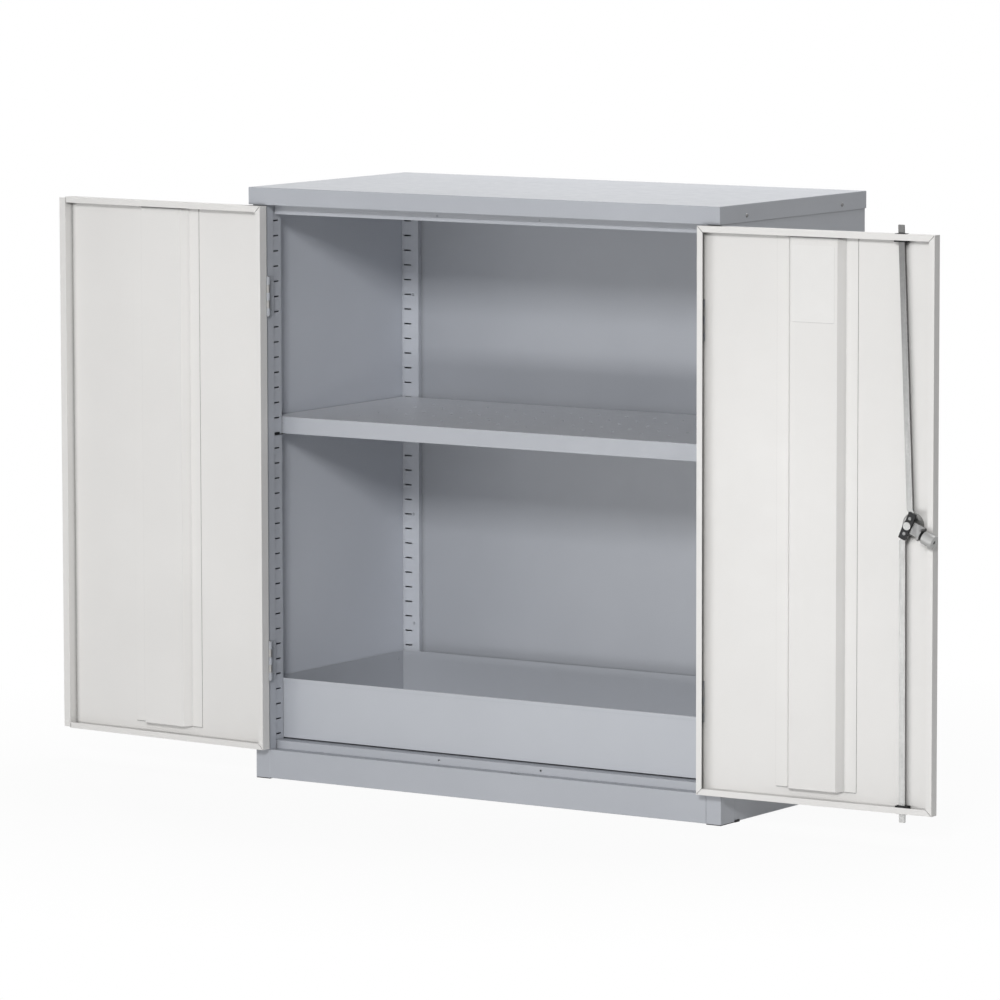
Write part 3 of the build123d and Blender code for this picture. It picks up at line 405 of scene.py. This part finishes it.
film, film_tree, film_shader, film_place = new_finish("white_film")
film_noise = add(film_tree, "ShaderNodeTexNoise",
                 {"Vector": film_place, "Scale": 40.0, "Detail": 2.0})
film_tree.links.new(tinted(film_tree, film_noise.outputs["Fac"], *FILM_TINTS),
                    film_shader.inputs["Base Color"])
film_tree.links.new(clamp_range(film_tree, film_noise.outputs["Fac"], 0.3, 0.7, 0.28, 0.36),
                    film_shader.inputs["Roughness"])
sticker.data.materials.append(film)
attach(sticker, "right_door")
print("sticker corners:", count)

# %% [markdown]
# ## Floor and surroundings
# A product picture like this stands on white. The floor is a diffuse plane that adds white
# only for rays that come straight from the camera or off shiny metal, so it throws no extra
# light on the cupboard. Near the cupboard a small share of the plane's own shade is left in,
# which keeps the contact shadow. The world is split by the same rays.

# %% Floor
floor_mesh = bpy.data.meshes.new("floor")
floor_mesh.from_pydata([(-14, -14, 0), (14, -14, 0), (14, 14, 0), (-14, 14, 0)], [], [(0, 1, 2, 3)])
floor = bpy.data.objects.new("floor", floor_mesh)
bpy.context.scene.collection.objects.link(floor)

floor_finish = bpy.data.materials.new("studio_floor")
floor_finish.use_nodes = True
floor_tree = floor_finish.node_tree
floor_tree.nodes.clear()
floor_out = add(floor_tree, "ShaderNodeOutputMaterial")
matt = add(floor_tree, "ShaderNodeBsdfDiffuse", {"Color": (0.86, 0.86, 0.86, 1)})
glow = add(floor_tree, "ShaderNodeEmission", {"Color": (1, 1, 1, 1), "Strength": 1.0})
path = add(floor_tree, "ShaderNodeLightPath")
seen = add(floor_tree, "ShaderNodeMath",
           {0: path.outputs["Is Camera Ray"], 1: path.outputs["Is Glossy Ray"]},
           operation="MAXIMUM")
seen = add(floor_tree, "ShaderNodeMath",
           {0: seen.outputs[0], 1: path.outputs["Is Transmission Ray"]},
           operation="MAXIMUM")
floor_place = add(floor_tree, "ShaderNodeTexCoord")
reach = add(floor_tree, "ShaderNodeVectorMath", {0: floor_place.outputs["Object"]},
            operation="LENGTH")
fade = clamp_range(floor_tree, reach.outputs["Value"], 0.7, 1.5, 0.94, 1.0)
share = add(floor_tree, "ShaderNodeMath", {0: seen.outputs[0], 1: fade}, operation="MULTIPLY")
blend = add(floor_tree, "ShaderNodeMixShader",
            {0: share.outputs[0], 1: matt.outputs[0], 2: glow.outputs[0]})
floor_tree.links.new(blend.outputs[0], floor_out.inputs["Surface"])
floor.data.materials.append(floor_finish)
print("floor ready")

# %% [markdown]
# ## World
# The room around the cupboard is a soft even grey for the light it sends, and plain white
# for what the camera and the shiny parts see.

# %% World
world = bpy.data.worlds.new("studio")
bpy.context.scene.world = world
world.use_nodes = True
world_tree = world.node_tree
world_tree.nodes.clear()
world_out = add(world_tree, "ShaderNodeOutputWorld")
room = add(world_tree, "ShaderNodeBackground", {"Color": (1, 1, 1, 1), "Strength": 0.13})
white = add(world_tree, "ShaderNodeBackground", {"Color": (1, 1, 1, 1), "Strength": 1.0})
world_path = add(world_tree, "ShaderNodeLightPath")
world_seen = add(world_tree, "ShaderNodeMath",
                 {0: world_path.outputs["Is Camera Ray"], 1: world_path.outputs["Is Glossy Ray"]},
                 operation="MAXIMUM")
world_seen = add(world_tree, "ShaderNodeMath",
                 {0: world_seen.outputs[0], 1: world_path.outputs["Is Transmission Ray"]},
                 operation="MAXIMUM")
world_mix = add(world_tree, "ShaderNodeMixShader",
                {0: world_seen.outputs[0], 1: room.outputs[0], 2: white.outputs[0]})
world_tree.links.new(world_mix.outputs[0], world_out.inputs["Surface"])
print("world ready")

# %% [markdown]
# ## Lamps
# The main light is a panel far away in front, to the right and about twenty degrees up, so
# it reaches deep into the cupboard and leaves a shadow under the header and the shelf. A
# panel above and behind the fronts lights the cap's top. A low strip near the floor does
# what a white floor does in a studio: it lifts the plinth, the feet of the doors and the
# dark upper corners inside.

# %% Lamps
def panel_light(name, place, aim, size, watts):
    """A wide soft panel that looks at a point."""
    data = bpy.data.lights.new(name, "AREA")
    data.shape = "RECTANGLE"
    data.size, data.size_y = size
    data.energy = watts
    lamp = bpy.data.objects.new(name, data)
    bpy.context.scene.collection.objects.link(lamp)
    lamp.location = place
    lamp.rotation_euler = (Vector(aim) - Vector(place)).to_track_quat("-Z", "Y").to_euler()
    return lamp


panel_light("overhead", (0.0, 1.0, 2.8), (0, 0.35, 0.99), (2.4, 1.2), 46)
panel_light("front_key", (3.3, -7.6, 3.75), (0, 0, 0.5), (1.5, 1.2), 352)
panel_light("low_strip", (-0.3, -2.7, 0.14), (0, 0, 0.45), (2.4, 0.24), 22.0)

# %% [markdown]
# ## Finish
# The colours are shown as written, with no film look.

# %% Show the colours as written
bpy.context.scene.view_settings.view_transform = "Standard"
